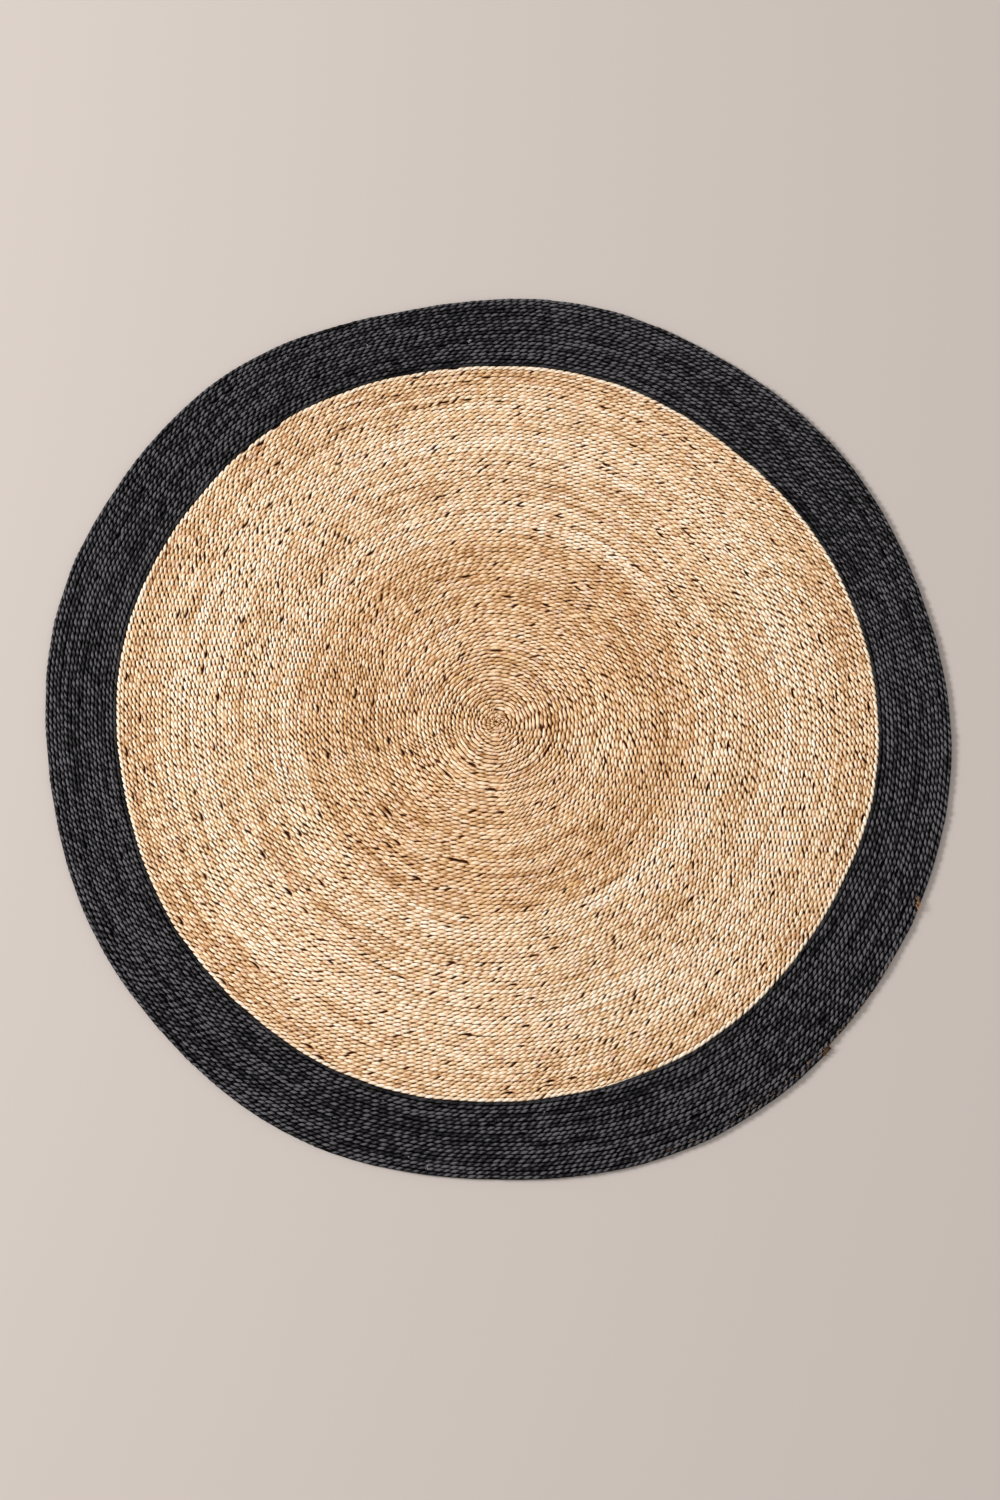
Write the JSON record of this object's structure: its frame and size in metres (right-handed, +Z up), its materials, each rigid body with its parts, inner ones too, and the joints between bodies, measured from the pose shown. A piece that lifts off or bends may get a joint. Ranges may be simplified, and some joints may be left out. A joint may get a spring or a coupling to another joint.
{
  "type": "round jute rug",
  "caption": "Flat round rug wound from one long coil of two-ply jute cord, with a natural middle and a wide black border.",
  "frame": {"origin": "on the floor under the middle of the rug, where the coil starts", "axes": "+Z up out of the rug's top face, +Y away from the camera of the picture, +X to the right in it"},
  "size_m": [1.4981, 1.496, 0.0083],
  "materials": {
    "natural_jute": "undyed two-ply jute cord, matt, wound and stitched through",
    "black_jute": "black-dyed two-ply jute cord, matt, wound and stitched through"
  },
  "bodies": {
    "root": {"natural_centre": "natural_jute", "black_border": "black_jute"}
  },
  "joints": []
}
